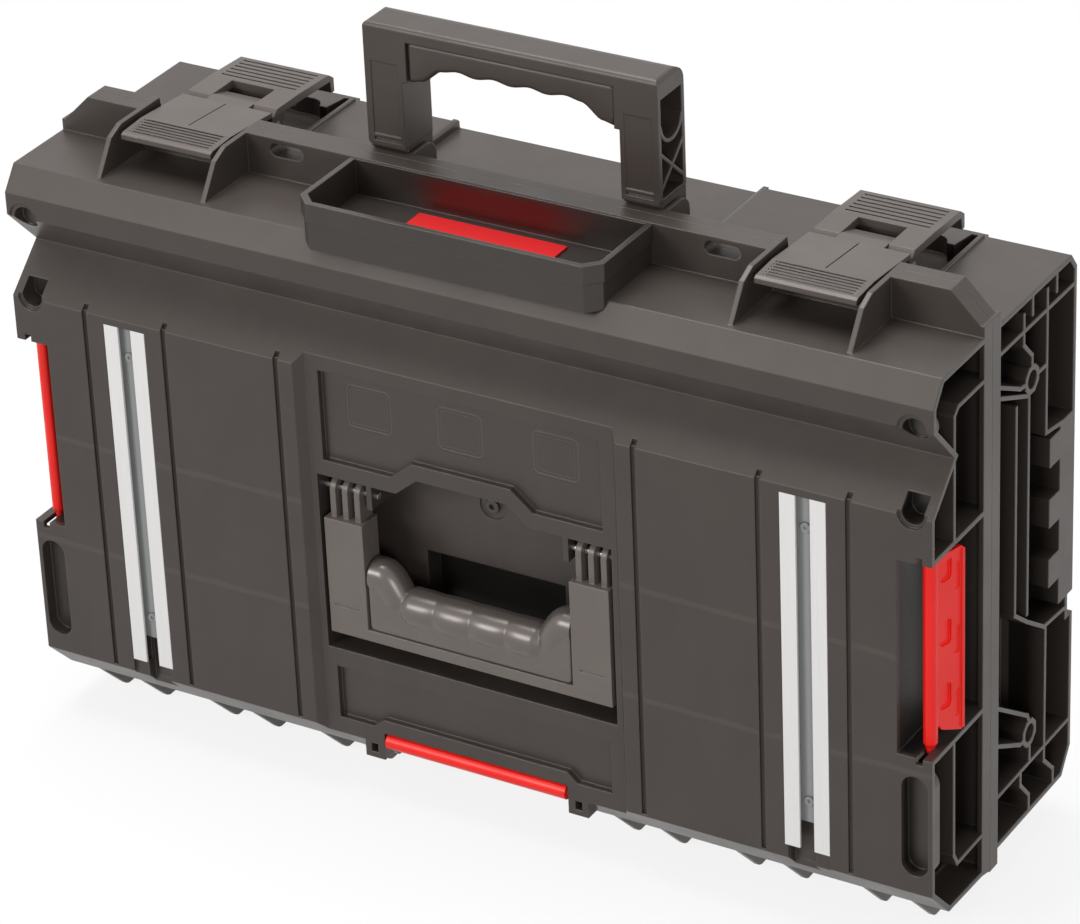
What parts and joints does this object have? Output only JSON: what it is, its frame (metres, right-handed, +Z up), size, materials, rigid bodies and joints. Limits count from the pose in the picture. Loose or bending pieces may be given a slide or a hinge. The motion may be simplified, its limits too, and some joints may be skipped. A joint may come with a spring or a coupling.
{
  "type": "hard tool case",
  "caption": "Hard plastic tool case with a hinged lid, pull latches, folding handles, stacking connectors, accessory rails and a parts tray on its rim.",
  "frame": {"origin": "bottom centre of the box round the case as it stands on its hinge side", "axes": "+X along the case to the viewer's right, +Y from the lid's face to the back, +Z up to the carry handle"},
  "size_m": [0.5898, 0.19, 0.458],
  "materials": {
    "shell": "fine moulded texture",
    "latch": "fine moulded texture",
    "grip": "satin soft plastic",
    "red": "semi-gloss",
    "strip": "semi-gloss",
    "rail": "fine satin",
    "steel": "bright"
  },
  "bodies": {
    "base": {"base_shell": "shell", "latch_pins": "steel", "carry_pins": "steel"},
    "lid": {"lid_shell": "shell", "rail_left": "rail", "rail_right": "rail", "rail_screws": "steel", "tray": "shell", "tray_strip": "strip", "lid_handle_pins": "steel", "hinge_pins": "steel"},
    "carry_handle": {"carry_handle": "shell", "carry_grip": "grip"},
    "lever_left": {"latch_lever_left": "latch", "clip_pin_left": "steel"},
    "lever_right": {"latch_lever_right": "latch", "clip_pin_right": "steel"},
    "clip_left": {"latch_clip_left": "latch"},
    "clip_right": {"latch_clip_right": "latch"},
    "lid_handle": {"lid_handle": "latch", "lid_grip": "grip"},
    "connector_left": {"connector_left": "red"},
    "connector_right": {"connector_right": "red"},
    "connector_rear": {"connector_rear": "red"}
  },
  "joints": [
    {"name": "lid_hinge", "type": "hinge", "parent": "base", "child": "lid", "pos_m": [0, -0.024, 0.007], "axis": [1, 0, 0], "range_deg": [0, 100]},
    {"name": "carry_handle_fold", "type": "hinge", "parent": "base", "child": "carry_handle", "pos_m": [0, -0.0018, 0.3655], "axis": [1, 0, 0], "range_deg": [-90, 0]},
    {"name": "lever_left_pull", "type": "hinge", "parent": "base", "child": "lever_left", "pos_m": [-0.2016, 0.011, 0.365], "axis": [1, 0, 0], "range_deg": [0, 60]},
    {"name": "lever_right_pull", "type": "hinge", "parent": "base", "child": "lever_right", "pos_m": [0.2016, 0.011, 0.365], "axis": [1, 0, 0], "range_deg": [0, 60]},
    {"name": "clip_left_lift", "type": "hinge", "parent": "lever_left", "child": "clip_left", "pos_m": [-0.2016, 0.0205, 0.369], "axis": [1, 0, 0], "range_deg": [-90, 0]},
    {"name": "clip_right_lift", "type": "hinge", "parent": "lever_right", "child": "clip_right", "pos_m": [0.2016, 0.0205, 0.369], "axis": [1, 0, 0], "range_deg": [-90, 0]},
    {"name": "lid_handle_fold", "type": "hinge", "parent": "lid", "child": "lid_handle", "pos_m": [0, -0.079, 0.197], "axis": [1, 0, 0], "range_deg": [-90, 0]},
    {"name": "connector_left_swing", "type": "hinge", "parent": "lid", "child": "connector_left", "pos_m": [-0.2848, -0.0814, 0.191], "axis": [0, 0, 1], "range_deg": [0, 90]},
    {"name": "connector_right_swing", "type": "hinge", "parent": "lid", "child": "connector_right", "pos_m": [0.2848, -0.0814, 0.191], "axis": [0, 0, 1], "range_deg": [-90, 0]},
    {"name": "connector_rear_swing", "type": "hinge", "parent": "lid", "child": "connector_rear", "pos_m": [0, -0.086, 0.0393], "axis": [1, 0, 0], "range_deg": [-90, 0]}
  ],
  "couplings": [
    {"joint": "clip_left_lift", "follows": "lever_left_pull", "ratio": -1.5},
    {"joint": "clip_right_lift", "follows": "lever_right_pull", "ratio": -1.5}
  ]
}
